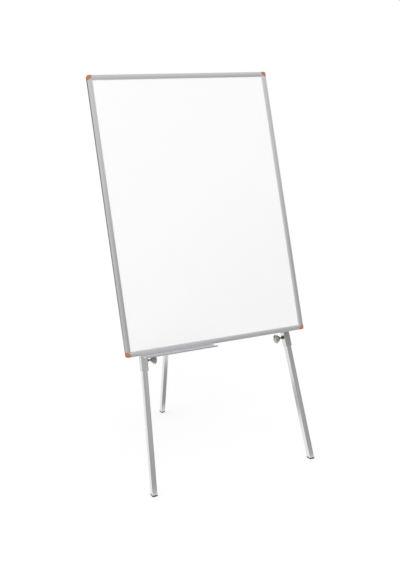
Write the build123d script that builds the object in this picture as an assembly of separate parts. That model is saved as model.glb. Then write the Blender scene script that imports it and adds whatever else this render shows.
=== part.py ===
"""Whiteboard easel on three telescopic legs, one solid or group of solids per sub-part, in millimetres.

Three frames are used. The board's frame has X to the right, Y up the board and Z out of its front, with the
origin in the middle of the board's bottom edge. A leg's frame has Y up the leg and Z towards the front. The
last frame stands on the floor: +X right, +Z up, the board facing -Y, the origin under the easel's middle.
"""

from build123d import *
from math import cos, radians, sin, sqrt, tan
import os

# Stance
lean = 11.0                  # the board leans back from the vertical, degrees
splay = 3.65                 # each front leg spreads outwards in the board's plane, degrees
rear_angle = 23.0            # the open rear leg leans from the vertical, degrees
edge_height = 485.0          # the board's bottom edge above the floor
leg_inset = 68.0             # from the board's side edge to the front leg's axis, at the bottom edge

# Board
board_width = 700.0
board_height = 1000.0
sheet_thickness = 0.4
core_thickness = 8.0
back_thickness = 0.3
panel_clearance = 0.1        # on each face of the panel, in the rails' groove
panel_edge_gap = 0.3         # between the panel's edge and the bottom of the groove

# Rail section, measured inwards from the board's outer edge and back from its front
rail_face = 18.0
rail_depth = 15.0
rail_wall = 1.4
crown_radius = 40.0          # the front face bulges a little
crown_line = 8.0             # where that bulge is highest
web_inner = 14.0             # the bottom of the panel groove
back_lip_reach = 17.0
rail_edge_radius = 0.7
slot_mouth = 8.0             # T slot along the outer edge
slot_lip = 1.2
slot_width = 10.5
slot_depth = 3.2
slot_centre = 8.0            # behind the front

# Corner caps
cap_leg = 17.0               # along each rail, from the corner
cap_radius = 9.0
cap_bulge = 5.0              # of the inner edge, past the straight line between its ends
cap_front_proud = 0.5
cap_back_proud = 0.4
cap_edge_radius = 0.9
tenon_reach = 40.0           # of the caps' tongues, from the corner
tenon_clearance = 0.1
tenon_chamfer = 1.0
corner_screw_place = 31.0    # from the corner, along the rail

# Pen tray
tray_length = 268.0
tray_inset = 53.0            # from the board's left side to the tray's left end
tray_depth = 54.0
tray_thickness = 1.5
tray_lip = 4.0
tray_rounding = 0.65
tray_tilt = 8.0              # the floor drops by this against the board's normal, degrees
tray_root = 0.6              # the floor starts this far in front of the rail
tray_flange = 5.5            # the hidden flange reaches this far behind the slot's middle
tray_gap = 0.2
tongue_clearance = 0.2
tongue_thickness = 1.5

# Leg tubes
leg_width = 18.5
leg_depth = 25.0
leg_wall = 1.2
leg_radius = 1.5
leg_groove_width = 6.0
leg_groove_depth = 0.4
inner_leg_length = 720.0
slide_clearance = 0.2
tube_wall = 1.2
tube_radius = 1.6
tube_top_gap = 6.0           # the front tubes end this far below the board's top edge
plug_head = 2.0
plug_rounding = 0.5
plug_length = 12.0
plug_clearance = 0.05
bush_head = 3.0
bush_clearance = 0.1
foot_height = 5.0            # of the level sole piece under the leg's level end
foot_proud = 0.3
foot_plug = 25.0             # up the leg's bore
foot_radius = 1.8

# Clamp sleeve and its screw
sleeve_drop = 56.0           # the sleeve's lower end below the board's bottom edge, or as far on the rear leg
sleeve_length = 55.0
sleeve_lip = 6.0             # below the outer tube's end
sleeve_wall = 1.2
sleeve_boss_wall = 2.0       # on the screw's side
sleeve_radius = 2.0
sleeve_rounding = 0.6
clamp_rise = 36.0            # the screw's axis above the sleeve's lower end
screw_radius = 3.0
screw_clearance = 0.05
pad_radius = 4.5
pad_thickness = 2.0
pad_clearance = 0.3
pad_travel = 2.0
pad_spare = 1.0              # of the recess behind the released pad
collar_radius = 6.75
collar_length = 4.5
collar_chamfer = 0.8
stem_length = 9.85           # of bare screw between the collar and the knob
knob_radius = 17.0
knob_hub_radius = 8.0
knob_tier_radius = 12.8      # of the smaller of the bell's two tiers
knob_tier = 6.5              # length of that tier
knob_groove = 1.6            # width of the ring groove between the tiers
knob_groove_depth = 1.4
knob_bell = 5.0              # length of the larger tier
knob_bell_step = 1.2         # the larger tier starts this much wider than the smaller one ends
knob_rim = 2.4
knob_dome = 6.0
knob_dome_radius = 9.0       # of the flat middle of the domed face
knob_flare = 0.9             # of the tiers, inside a straight cone
knob_dome_swell = 1.6        # of the face, outside a straight cone
knob_bore_depth = 14.0

# Fasteners
head_radius = 2.9
head_height = 2.0
head_rounding = 1.0
shank_radius = 1.5
shank_clearance = 0.1
shank_length = 7.0
rivet_radius = 1.6
rivet_head_radius = 3.2
rivet_head_height = 1.2
rivet_rounding = 0.8

# Saddles that hold the front tubes on the top and bottom rails
saddle_height = 10.0
saddle_wall = 2.0
saddle_flange = 16.0

# Cross bar and the rear leg's hinge
hinge_drop = 135.0           # from the board's top edge to the hinge pin, down the board
bar_height = 30.0
bar_depth = 20.0
bar_wall = 1.5
bar_gap = 0.5                # between the bar and the back of the rails' plane
bar_screw_rise = 6.0         # of the screws in the connectors' tongues, from the bar's middle
connector_wall = 3.0
connector_height = 56.0
connector_tenon = 25.0
connector_clearance = 0.1
bracket_wall = 2.5
bracket_height = 30.0
bracket_flange = 18.0
bracket_rivet_rise = 9.0
bracket_corner = 4.0
pin_drop = 20.0              # from the bracket's base to the pin
pin_radius = 3.0
pin_clearance = 0.05
pin_edge = 10.0              # ear material round the pin
pin_head_radius = 5.0
pin_head_height = 4.0
pin_head_rounding = 1.6
pin_past_nut = 2.0
nut_across_flats = 10.0
nut_height = 5.0
washer_radius = 7.0
washer_thickness = 0.9
washer_gap = 0.1
stop_gap = 0.3
hinge_plug_length = 30.0


def crown_drop(inwards):
    """How far the rail's bulged face lies behind the board's front plane."""
    return crown_radius - sqrt(crown_radius**2 - (inwards - crown_line) ** 2)


# Derived sizes
hinge_height = board_height - hinge_drop
leg_place = board_width / 2 - leg_inset
tray_left = tray_inset - board_width / 2
groove_front = crown_drop(rail_face) + rail_wall
groove_back = groove_front + sheet_thickness + core_thickness + back_thickness + 2 * panel_clearance
chamber_inner = web_inner - rail_wall
chamber_outer = slot_depth + rail_wall
chamber_front = crown_drop(chamber_inner) + 2 * rail_wall
chamber_back = rail_depth - rail_wall
corner_screw_inset = (chamber_outer + chamber_inner) / 2
cap_middle = cap_leg / 2 + cap_bulge / sqrt(2)      # from both edges to the middle of the inner arc
cap_corner = cap_radius - cap_radius / sqrt(2)      # and to the middle of the outer arc
tube_width = leg_width + 2 * (slide_clearance + tube_wall)
tube_depth = leg_depth + 2 * (slide_clearance + tube_wall)
sleeve_face = tube_width / 2 + sleeve_boss_wall
pad_seat = leg_width / 2
screw_start = pad_seat + pad_thickness
collar_bottom = screw_start + pad_travel + pad_spare
collar_end = sleeve_face + collar_length
knob_start = collar_end + stem_length
leg_centre_depth = rail_depth + tube_depth / 2
bar_back = rail_depth + bar_gap + bar_depth
bracket_back = bar_back + bracket_wall
pin_depth = bracket_back + pin_drop
fold_angle = lean + rear_angle
heel = (pin_drop - stop_gap - tube_depth / 2 * cos(radians(fold_angle))) / sin(radians(fold_angle))
ear_inside = tube_width / 2 + washer_thickness + washer_gap
rear_sleeve_bottom = -(hinge_height + sleeve_drop)

# Frames
board = Plane(
    origin=(0, 0, edge_height),
    x_dir=(1, 0, 0),
    z_dir=(0, -cos(radians(lean)), sin(radians(lean))),
)
front_leg = {
    side: board.location * Location((side * leg_place, 0, -leg_centre_depth), (0, 0, side * splay))
    for side in (-1, 1)
}
hinge_point = (board.location * Pos(0, hinge_height, -pin_depth)).position
rear_leg = Plane(
    origin=hinge_point,
    x_dir=(1, 0, 0),
    z_dir=(0, -cos(radians(rear_angle)), -sin(radians(rear_angle))),
).location

parts = {}


def block(x0, x1, y0, y1, z0, z1):
    """A box between its lowest and highest corners."""
    return Pos((x0 + x1) / 2, (y0 + y1) / 2, (z0 + z1) / 2) * Box(x1 - x0, y1 - y0, z1 - z0)


def along_y(sketch, y0, y1):
    """Extrude a section drawn in leg X and Z from y0 up to y1."""
    section = Plane(origin=(0, y0, 0), x_dir=(1, 0, 0), z_dir=(0, 1, 0)) * sketch
    return extrude(section, amount=y1 - y0)


def along_x(radius, x0, x1, side=1):
    """A cylinder on the X axis, from x0 to x1, or to the other side when side is -1."""
    return Pos(side * (x0 + x1) / 2, 0, 0) * Rot(0, 90, 0) * Cylinder(radius, x1 - x0)


def along_z(radius, z0, z1):
    return Pos(0, 0, (z0 + z1) / 2) * Cylinder(radius, z1 - z0)


def rounded(width, depth, radius):
    return RectangleRounded(width, depth, radius)


# Board panel

def panel_layer(front, thickness):
    width = board_width - 2 * (web_inner + panel_edge_gap)
    height = board_height - 2 * (web_inner + panel_edge_gap)
    return Pos(0, board_height / 2, -front - thickness / 2) * Box(width, height, thickness)


sheet_front = groove_front + panel_clearance
parts["writing_sheet"] = board.location * panel_layer(sheet_front, sheet_thickness)
parts["board_core"] = board.location * panel_layer(sheet_front + sheet_thickness, core_thickness)
parts["back_sheet"] = board.location * panel_layer(
    sheet_front + sheet_thickness + core_thickness, back_thickness
)


# Rails and corner caps

def rail_section():
    """The extrusion's section: bulged face, hollow chamber, panel groove and T slot."""
    face_line = ThreePointArc(
        (0, -crown_drop(0)), (crown_line, 0), (rail_face, -crown_drop(rail_face))
    )
    back_line = Polyline(
        (rail_face, -crown_drop(rail_face)),
        (rail_face, -groove_front),
        (web_inner, -groove_front),
        (web_inner, -groove_back),
        (back_lip_reach, -groove_back),
        (back_lip_reach, -groove_back - rail_wall),
        (web_inner, -groove_back - rail_wall),
        (web_inner, -rail_depth),
        (0, -rail_depth),
        (0, -crown_drop(0)),
    )
    outline = make_face(face_line + back_line)
    outer_corners = outline.vertices().filter_by_position(Axis.X, -0.01, 0.01)
    outline = fillet(outer_corners, rail_edge_radius)
    chamber = Pos((chamber_outer + chamber_inner) / 2, -(chamber_front + chamber_back) / 2) * Rectangle(
        chamber_inner - chamber_outer, chamber_back - chamber_front
    )
    mouth = Pos(slot_depth / 2, -slot_centre) * Rectangle(slot_depth, slot_mouth)
    undercut = Pos((slot_lip + slot_depth) / 2, -slot_centre) * Rectangle(
        slot_depth - slot_lip, slot_width
    )
    return outline - chamber - mouth - undercut


def cap_outline():
    """A quarter-round with its outer corner at the origin and its legs along +X and +Y."""
    bottom = Line((cap_radius, 0), (cap_leg, 0))
    inner = ThreePointArc((cap_leg, 0), (cap_middle, cap_middle), (0, cap_leg))
    left = Line((0, cap_leg), (0, cap_radius))
    outer = ThreePointArc((0, cap_radius), (cap_corner, cap_corner), (cap_radius, 0))
    return make_face(bottom + inner + left + outer)


def cap_space():
    """What the rails leave free for the cap, with the sharp corner taken off as well."""
    inner = ThreePointArc((cap_leg, 0), (cap_middle, cap_middle), (0, cap_leg))
    outer = Polyline((0, cap_leg), (0, 0), (cap_leg, 0))
    return Pos(0, 0, -rail_depth) * extrude(make_face(inner + outer), amount=rail_depth)


def rail(length):
    """A rail along X with its outer edge on Y 0, mitred, and cut back for the caps."""
    bar = extrude(Plane.YZ * rail_section(), amount=length / 2, both=True)
    mitre = make_face(
        Polyline(
            (-length / 2, 0),
            (length / 2, 0),
            (length / 2 - rail_face, rail_face),
            (rail_face - length / 2, rail_face),
            (-length / 2, 0),
        )
    )
    bar = bar & (Pos(0, 0, -rail_depth) * extrude(mitre, amount=rail_depth))
    left_space = Pos(-length / 2, 0, 0) * cap_space()
    bar = bar - left_space - mirror(left_space, Plane.YZ)
    for side in (-1, 1):
        hole = Pos(side * (length / 2 - corner_screw_place), corner_screw_inset, 0)
        bar = bar - hole * along_z(shank_radius + shank_clearance, -rail_depth, -chamber_back)
    return bar


def place_rail(angle, x, y):
    return board.location * Location((x, y, 0), (0, 0, angle))


bottom_rail = rail(board_width)
saddle_line = {"lower": corner_screw_inset, "upper": board_height - corner_screw_inset}
parts["bottom_rail"] = place_rail(0, 0, 0) * bottom_rail
parts["top_rail"] = place_rail(180, 0, board_height) * bottom_rail
side_rail = rail(board_height)
parts["right_rail"] = place_rail(90, board_width / 2, board_height / 2) * side_rail
parts["left_rail"] = place_rail(-90, -board_width / 2, board_height / 2) * side_rail


def corner_cap():
    """One cap with its two tongues, for the corner at the origin."""
    body = Pos(0, 0, -rail_depth - cap_back_proud) * extrude(
        cap_outline(), amount=rail_depth + cap_back_proud + cap_front_proud
    )
    body = fillet(body.faces().sort_by(Axis.Z)[-1].edges(), cap_edge_radius)
    tongue = block(
        cap_radius,
        tenon_reach,
        chamber_outer + tenon_clearance,
        chamber_inner - tenon_clearance,
        -chamber_back + tenon_clearance,
        -chamber_front - tenon_clearance,
    )
    tongue = chamfer(tongue.faces().sort_by(Axis.X)[-1].edges(), tenon_chamfer)
    hole = Pos(corner_screw_place, corner_screw_inset, 0) * along_z(
        shank_radius + shank_clearance, -rail_depth, head_height + shank_length - rail_depth
    )
    tongue = tongue - hole
    swap = Plane(origin=(0, 0, 0), z_dir=(1, -1, 0))
    return body + tongue + mirror(tongue, swap)


def pan_screw():
    """A pan head screw on Z, its head below Z 0."""
    head = along_z(head_radius, -head_height, 0)
    head = fillet(head.faces().sort_by(Axis.Z)[0].edges(), head_rounding)
    return head + along_z(shank_radius, 0, shank_length)


corners = {
    "cap_bottom_left": (-board_width / 2, 0, 0),
    "cap_bottom_right": (board_width / 2, 0, 90),
    "cap_top_right": (board_width / 2, board_height, 180),
    "cap_top_left": (-board_width / 2, board_height, 270),
}
cap = corner_cap()
corner_screws = []
for name, (corner_x, corner_y, turn) in corners.items():
    corner_place = board.location * Location((corner_x, corner_y, 0), (0, 0, turn))
    parts[name] = corner_place * cap
    for x, y in (
        (corner_screw_place, corner_screw_inset),
        (corner_screw_inset, corner_screw_place),
    ):
        corner_screws.append(corner_place * Pos(x, y, -rail_depth) * pan_screw())
parts["corner_screws"] = Compound(corner_screws)


# Pen tray

def tray_section():
    """Drawn in depth (X, out of the board's front) and height (Y, up the board)."""
    out = Vector(cos(radians(tray_tilt)), -sin(radians(tray_tilt)))
    up = Vector(sin(radians(tray_tilt)), cos(radians(tray_tilt)))
    under = -tray_gap - tray_thickness
    back = -slot_centre - tray_flange
    bend = Vector(tray_root, -tray_gap)
    front = bend + out * tray_depth
    bend_below = bend + Vector(-tan(radians(tray_tilt / 2)), -1) * tray_thickness
    points = [
        Vector(back, -tray_gap),
        bend,
        front,
        front + up * tray_lip,
        front + up * tray_lip + out * tray_thickness,
        front + out * tray_thickness - up * tray_thickness,
        bend_below,
        Vector(back, under),
        Vector(back, -tray_gap),
    ]
    plate = make_face(Polyline(*points))
    lip_corners = plate.vertices().sort_by(Axis.X)[-3:]
    plate = fillet(lip_corners, tray_rounding)
    neck_top = slot_lip + tongue_clearance
    neck = Pos(-slot_centre, (neck_top + under) / 2) * Rectangle(
        slot_mouth - 2 * tongue_clearance, neck_top - under
    )
    tongue = Pos(-slot_centre, neck_top + tongue_thickness / 2) * Rectangle(
        slot_width - 2 * tongue_clearance, tongue_thickness
    )
    return plate + neck + tongue


# the section's own X runs out of the front and its Y up the board, so its normal points left
tray_plane = Plane(origin=(tray_left + tray_length, 0, 0), x_dir=(0, 0, 1), z_dir=(-1, 0, 0))
parts["pen_tray"] = board.location * extrude(tray_plane * tray_section(), amount=tray_length)


# Legs, tubes and clamps

def tube_section(width, depth, radius, wall):
    return rounded(width, depth, radius) - rounded(width - 2 * wall, depth - 2 * wall, radius / 2)


def outer_tube(bottom, top, clamp_y, inward):
    """The fixed tube, with the holes for the pressure pad and the sleeve's rivet."""
    tube = along_y(tube_section(tube_width, tube_depth, tube_radius, tube_wall), bottom, top)
    pad_hole = Pos(0, clamp_y, 0) * along_x(pad_radius + pad_clearance, pad_seat, sleeve_face, inward)
    rivet_hole = Pos(0, clamp_y, 0) * along_z(rivet_radius, -tube_depth / 2, -tube_depth / 2 + tube_wall)
    return tube - pad_hole - rivet_hole


def clamp_sleeve(bottom, clamp_y, inward):
    """The sleeve round the tube's lower end, thicker on the screw's side."""
    left = -(tube_width / 2 + (sleeve_wall if inward > 0 else sleeve_boss_wall))
    right = tube_width / 2 + (sleeve_boss_wall if inward > 0 else sleeve_wall)
    depth = tube_depth + 2 * sleeve_wall
    outline = Pos((left + right) / 2, 0) * rounded(right - left, depth, sleeve_radius)
    body = along_y(outline, bottom, bottom + sleeve_length)
    ends = body.faces().sort_by(Axis.Y)
    body = fillet(ends[0].edges() + ends[-1].edges(), sleeve_rounding)
    tube_seat = along_y(
        rounded(tube_width, tube_depth, tube_radius), bottom + sleeve_lip, bottom + sleeve_length
    )
    mouth = along_y(
        rounded(leg_width + 2 * slide_clearance, leg_depth + 2 * slide_clearance, tube_radius / 2),
        bottom,
        bottom + sleeve_lip,
    )
    pad_hole = Pos(0, clamp_y, 0) * along_x(pad_radius + pad_clearance, pad_seat, sleeve_face, inward)
    rivet_hole = Pos(0, clamp_y, 0) * along_z(
        rivet_radius, -tube_depth / 2 - sleeve_wall, -tube_depth / 2
    )
    return body - tube_seat - mouth - pad_hole - rivet_hole


def sleeve_rivet(clamp_y):
    """Set in the sleeve's back, flush with the tube's inner wall."""
    outside = -tube_depth / 2 - sleeve_wall
    head = along_z(rivet_head_radius, outside - rivet_head_height, outside)
    head = fillet(head.faces().sort_by(Axis.Z)[0].edges(), rivet_rounding)
    return Pos(0, clamp_y, 0) * (head + along_z(rivet_radius, outside, -tube_depth / 2 + tube_wall))


def clamp_collar(inward):
    """The threaded collar on the sleeve's face, recessed for the pad."""
    ring = along_x(collar_radius, sleeve_face, collar_end, inward)
    outer_face = ring.faces().sort_by(Axis.X)[-1 if inward > 0 else 0]
    ring = chamfer(outer_face.edges(), collar_chamfer)
    recess = along_x(pad_radius + pad_clearance, sleeve_face, collar_bottom, inward)
    thread = along_x(screw_radius + screw_clearance, collar_bottom, collar_end, inward)
    return ring - recess - thread


def bulged(start, end, swell):
    """An arc between two points, swell outside the straight line, or inside it when swell is negative."""
    along = Vector(*end) - Vector(*start)
    outside = Vector(-along.Y, along.X).normalized() * swell
    middle = (Vector(*start) + Vector(*end)) / 2 + outside
    return ThreePointArc(start, (middle.X, middle.Y), end)


def clamp_knob(inward):
    """A turned knob on the X axis: a bell of two tiers with a ring groove between them, and a domed face."""
    tier_end = knob_start + knob_tier
    bell_start = tier_end + knob_groove
    bell_end = bell_start + knob_bell
    rim_end = bell_end + knob_rim
    knob_end = rim_end + knob_dome
    groove_radius = knob_tier_radius - knob_groove_depth
    bell_radius = knob_tier_radius + knob_bell_step
    profile = make_face(
        Line((knob_start, 0), (knob_start, knob_hub_radius))
        + bulged((knob_start, knob_hub_radius), (tier_end, knob_tier_radius), -knob_flare)
        + Polyline(
            (tier_end, knob_tier_radius),
            (tier_end, groove_radius),
            (bell_start, groove_radius),
            (bell_start, bell_radius),
        )
        + bulged((bell_start, bell_radius), (bell_end, knob_radius), -knob_flare / 2)
        + Line((bell_end, knob_radius), (rim_end, knob_radius))
        + bulged((rim_end, knob_radius), (knob_end, knob_dome_radius), knob_dome_swell)
        + Polyline((knob_end, knob_dome_radius), (knob_end, 0), (knob_start, 0))
    )
    body = revolve(profile, Axis.X)
    body = body - along_x(screw_radius, knob_start, knob_start + knob_bore_depth)
    return body if inward > 0 else mirror(body, Plane.YZ)


def inner_leg(bottom, top):
    """The sliding tube, with a shallow groove down its front and its back."""
    section = tube_section(leg_width, leg_depth, leg_radius, leg_wall)
    for front in (-1, 1):
        section = section - Pos(0, front * (leg_depth - leg_groove_depth) / 2) * Rectangle(
            leg_groove_width, leg_groove_depth
        )
    return along_y(section, bottom, top)


def leg_bush(top):
    """The guide on the inner leg's top end."""
    head_width = leg_width + 2 * (slide_clearance - bush_clearance)
    head_depth = leg_depth + 2 * (slide_clearance - bush_clearance)
    head = along_y(rounded(head_width, head_depth, leg_radius), top, top + bush_head)
    return head + leg_plug(top - plug_length, top)


def leg_plug(y0, y1):
    """A plug that fits in the inner leg's bore."""
    width = leg_width - 2 * (leg_wall + plug_clearance)
    depth = leg_depth - 2 * (leg_wall + plug_clearance)
    return along_y(rounded(width, depth, leg_radius / 2), y0, y1)


def tube_plug(top, length):
    """The plug in the outer tube's top end, its head under top."""
    head = along_y(rounded(tube_width, tube_depth, tube_radius), top - plug_head, top)
    head = fillet(head.faces().sort_by(Axis.Y)[-1].edges(), plug_rounding)
    width = tube_width - 2 * (tube_wall + plug_clearance)
    depth = tube_depth - 2 * (tube_wall + plug_clearance)
    return head + along_y(
        rounded(width, depth, tube_radius / 2), top - plug_head - length, top - plug_head
    )


def near_foot(place, ground, z0, z1):
    """The space round a leg's lower end between two heights above the floor."""
    spot = (place * Pos(0, -ground, 0)).position
    reach = 2 * leg_depth
    return block(spot.X - reach, spot.X + reach, spot.Y - reach, spot.Y + reach, z0, z1)


def foot(place, ground):
    """The foot under a leg: a level sole piece with a plug that goes up the leg's bore."""
    head_width = leg_width + 2 * foot_proud
    head_depth = leg_depth + 2 * foot_proud
    head = along_y(rounded(head_width, head_depth, foot_radius), -ground - leg_depth, -ground + leg_depth)
    sole = (place * head) & near_foot(place, ground, 0, foot_height)
    plug = place * leg_plug(-ground, -ground + foot_height + foot_plug)
    return sole + (plug - near_foot(place, ground, -leg_depth, 0))


def ground_distance(place):
    """From a leg frame's origin down its axis to the floor."""
    up = (place * Pos(0, 1, 0)).position - place.position
    return place.position.Z / up.Z


def leg_assembly(name, place, sleeve_bottom, tube_top, inward, plug):
    """Everything on one leg, from its outer tube to its foot."""
    clamp_y = sleeve_bottom + clamp_rise
    ground = ground_distance(place)
    leg_bottom = -ground + foot_height
    tube_bottom = sleeve_bottom + sleeve_lip
    tube = outer_tube(tube_bottom, tube_top - plug_head, clamp_y, inward)
    clamp = place * Pos(0, clamp_y, 0)
    parts[f"{name}_outer_tube"] = place * tube
    parts[f"{name}_tube_plug"] = place * tube_plug(tube_top, plug)
    parts[f"{name}_clamp_sleeve"] = place * clamp_sleeve(sleeve_bottom, clamp_y, inward)
    parts[f"{name}_clamp_collar"] = clamp * clamp_collar(inward)
    parts[f"{name}_pressure_pad"] = clamp * along_x(pad_radius, pad_seat, screw_start, inward)
    parts[f"{name}_clamp_screw"] = clamp * along_x(
        screw_radius, screw_start, knob_start + knob_bore_depth, inward
    )
    parts[f"{name}_clamp_knob"] = clamp * clamp_knob(inward)
    leg = place * inner_leg(leg_bottom - leg_depth, leg_bottom + inner_leg_length)
    parts[f"{name}_inner_leg"] = leg - near_foot(place, ground, -2 * leg_depth, foot_height)
    parts[f"{name}_leg_bush"] = place * leg_bush(leg_bottom + inner_leg_length)
    parts[f"{name}_foot"] = foot(place, ground)
    return place * sleeve_rivet(clamp_y)


front_tube_top = (board_height - tube_top_gap) / cos(radians(splay))
front_rivets = [
    leg_assembly("left", front_leg[-1], -sleeve_drop, front_tube_top, 1, plug_length),
    leg_assembly("right", front_leg[1], -sleeve_drop, front_tube_top, -1, plug_length),
]
parts["front_sleeve_rivets"] = Compound(front_rivets)
parts["rear_sleeve_rivet"] = leg_assembly(
    "rear", rear_leg, rear_sleeve_bottom, heel, 1, hinge_plug_length
)


# Saddles

def saddle():
    """A strap over the tube's back with a flange each side on the rail, centred on Y 0."""
    front = tube_depth / 2
    side = tube_width / 2 + saddle_wall
    reach = side + saddle_flange
    half = saddle_height / 2
    body = block(-side, side, -half, half, -front - saddle_wall, front)
    back_edges = body.edges().filter_by(Axis.Y).group_by(Axis.Z)[0]
    body = fillet(back_edges, saddle_wall)
    body = body + block(-reach, reach, -half, half, front - saddle_wall, front)
    body = body - along_y(rounded(tube_width, tube_depth, tube_radius), -half, half)
    body = body - block(-tube_width / 2, tube_width / 2, -half, half, 0, front)
    for across in (-1, 1):
        hole = Pos(across * saddle_screw_place, 0, 0)
        body = body - hole * along_z(shank_radius + shank_clearance, front - saddle_wall, front)
    return body


saddle_screw_place = tube_width / 2 + saddle_wall + saddle_flange / 2
saddle_screws = []
for side, side_name in ((-1, "left"), (1, "right")):
    for level, height in saddle_line.items():
        seat = front_leg[side] * Pos(0, height / cos(radians(splay)), 0)
        parts[f"{side_name}_{level}_saddle"] = seat * saddle()
        rail_name = "bottom_rail" if level == "lower" else "top_rail"
        for across in (-1, 1):
            screw_seat = seat * Pos(across * saddle_screw_place, 0, tube_depth / 2 - saddle_wall)
            saddle_screws.append(screw_seat * pan_screw())
            drill = screw_seat * along_z(
                shank_radius + shank_clearance, 0, saddle_wall + 2 * rail_wall
            )
            parts[rail_name] = parts[rail_name] - drill
parts["saddle_screws"] = Compound(saddle_screws)


# Cross bar between the front tubes

def tube_face_x(height):
    """Where the right front tube's inner face is, at a height up the board."""
    lean_in = height * tan(radians(splay))
    return leg_place - lean_in - tube_width / 2 / cos(radians(splay))


bar_front = rail_depth + bar_gap
connector_top = hinge_height + connector_height / 2
connector_bottom = hinge_height - connector_height / 2
bar_half = tube_face_x(connector_top) - connector_wall


def connector():
    """The right end's connector: a wedge plate on the tube and a tongue in the bar."""
    plate = make_face(
        Polyline(
            (bar_half, connector_bottom),
            (tube_face_x(connector_bottom), connector_bottom),
            (tube_face_x(connector_top), connector_top),
            (bar_half, connector_top),
            (bar_half, connector_bottom),
        )
    )
    body = Pos(0, 0, -bar_back) * extrude(plate, amount=bar_depth)
    inset = bar_wall + connector_clearance
    return body + block(
        bar_half - connector_tenon,
        bar_half,
        hinge_height - bar_height / 2 + inset,
        hinge_height + bar_height / 2 - inset,
        -bar_back + inset,
        -bar_front - inset,
    )


cross_bar = Pos(0, hinge_height, -(bar_front + bar_back) / 2) * (
    Box(2 * bar_half, bar_height, bar_depth)
    - Box(2 * bar_half, bar_height - 2 * bar_wall, bar_depth - 2 * bar_wall)
)
right_connector = connector()
bar_screws = []
plate_screw_rise = (bar_height + connector_height) / 4
for up in (-1, 1):
    tongue_screw = Pos(bar_half - connector_tenon / 2, hinge_height + up * bar_screw_rise, -bar_back)
    bar_screws.append(tongue_screw * pan_screw())
    tongue_drill = tongue_screw * along_z(shank_radius + shank_clearance, 0, shank_length)
    cross_bar = cross_bar - tongue_drill - mirror(tongue_drill, Plane.YZ)
    right_connector = right_connector - tongue_drill
    plate_screw = Pos(
        bar_half, hinge_height + up * plate_screw_rise, -(bar_front + bar_back) / 2
    ) * Rot(0, 90, 0)
    bar_screws.append(plate_screw * pan_screw())
    plate_drill = plate_screw * along_z(shank_radius + shank_clearance, 0, shank_length)
    right_connector = right_connector - plate_drill
    for side_name, drill in (("right", plate_drill), ("left", mirror(plate_drill, Plane.YZ))):
        node = f"{side_name}_outer_tube"
        parts[node] = parts[node] - board.location * drill
bar_screws = bar_screws + [mirror(screw, Plane.YZ) for screw in bar_screws]
parts["right_bar_connector"] = board.location * right_connector
parts["left_bar_connector"] = board.location * mirror(right_connector, Plane.YZ)
parts["bar_screws"] = Compound([board.location * screw for screw in bar_screws])


# Rear leg's hinge, built round the pin with its X axis along the pin

hinge = board.location * Pos(0, hinge_height, -pin_depth)
ear_outside = ear_inside + bracket_wall
base_half = ear_outside + bracket_flange
bracket_rivet_place = ear_outside + bracket_flange / 2
bracket = Pos(0, 0, pin_drop + bracket_wall / 2) * Box(2 * base_half, bracket_height, bracket_wall)
bracket = fillet(bracket.edges().filter_by(Axis.Z), bracket_corner)
for side in (-1, 1):
    ear = make_face(
        Polyline((pin_drop, -bracket_height / 2), (0, -pin_edge))
        + ThreePointArc((0, -pin_edge), (-pin_edge, 0), (0, pin_edge))
        + Polyline((0, pin_edge), (pin_drop, bracket_height / 2), (pin_drop, -bracket_height / 2))
    )
    ear_start = ear_inside if side > 0 else -ear_outside
    ear_plane = Plane(origin=(ear_start, 0, 0), x_dir=(0, 0, 1), z_dir=(1, 0, 0))
    bracket = bracket + extrude(ear_plane * ear, amount=bracket_wall)
bracket = bracket - along_x(pin_radius + pin_clearance, -ear_outside, ear_outside)

hinge_rivets = []
for side in (-1, 1):
    for up in (-1, 1):
        seat = Pos(side * bracket_rivet_place, up * bracket_rivet_rise, pin_drop)
        shank = along_z(rivet_radius, 0, bracket_wall + bar_wall)
        head = along_z(rivet_head_radius, -rivet_head_height, 0)
        head = fillet(head.faces().sort_by(Axis.Z)[0].edges(), rivet_rounding)
        hinge_rivets.append(hinge * seat * (head + shank))
        bracket = bracket - seat * along_z(rivet_radius, 0, bracket_wall)
        cross_bar = cross_bar - Pos(0, hinge_height, -pin_depth) * seat * shank
parts["cross_bar"] = board.location * cross_bar
parts["hinge_bracket"] = hinge * bracket
parts["hinge_rivets"] = Compound(hinge_rivets)

pin_end = ear_outside + nut_height + pin_past_nut
pin_head = along_x(pin_head_radius, -ear_outside - pin_head_height, -ear_outside)
pin_head = fillet(pin_head.faces().sort_by(Axis.X)[0].edges(), pin_head_rounding)
parts["hinge_pin"] = hinge * (pin_head + along_x(pin_radius, -ear_outside, pin_end))
nut_plane = Plane(origin=(ear_outside, 0, 0), x_dir=(0, 1, 0), z_dir=(1, 0, 0))
nut_outline = RegularPolygon(nut_across_flats / 2, 6, major_radius=False)
nut = extrude(nut_plane * nut_outline, amount=nut_height)
nut = nut - along_x(pin_radius + pin_clearance, ear_outside, ear_outside + nut_height)
parts["hinge_nut"] = hinge * nut
washer = along_x(washer_radius, ear_inside - washer_thickness, ear_inside) - along_x(
    pin_radius + pin_clearance, ear_inside - washer_thickness, ear_inside
)
parts["hinge_washers"] = Compound([hinge * washer, hinge * mirror(washer, Plane.YZ)])

# the pin turns in the rear tube and in the long plug that fills its top end
pin_bore = rear_leg * along_x(pin_radius + pin_clearance, -tube_width, tube_width)
for node in ("rear_outer_tube", "rear_tube_plug"):
    parts[node] = parts[node] - pin_bore


# Stand the easel on the floor with the origin under the middle of its box

lows = [shape.bounding_box().min for shape in parts.values()]
highs = [shape.bounding_box().max for shape in parts.values()]
middle_x = (min(low.X for low in lows) + max(high.X for high in highs)) / 2
middle_y = (min(low.Y for low in lows) + max(high.Y for high in highs)) / 2
to_floor = Pos(-middle_x, -middle_y, 0)

os.makedirs("parts", exist_ok=True)
for name, shape in parts.items():
    export_step(to_floor * shape, f"parts/{name}.step")

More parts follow.
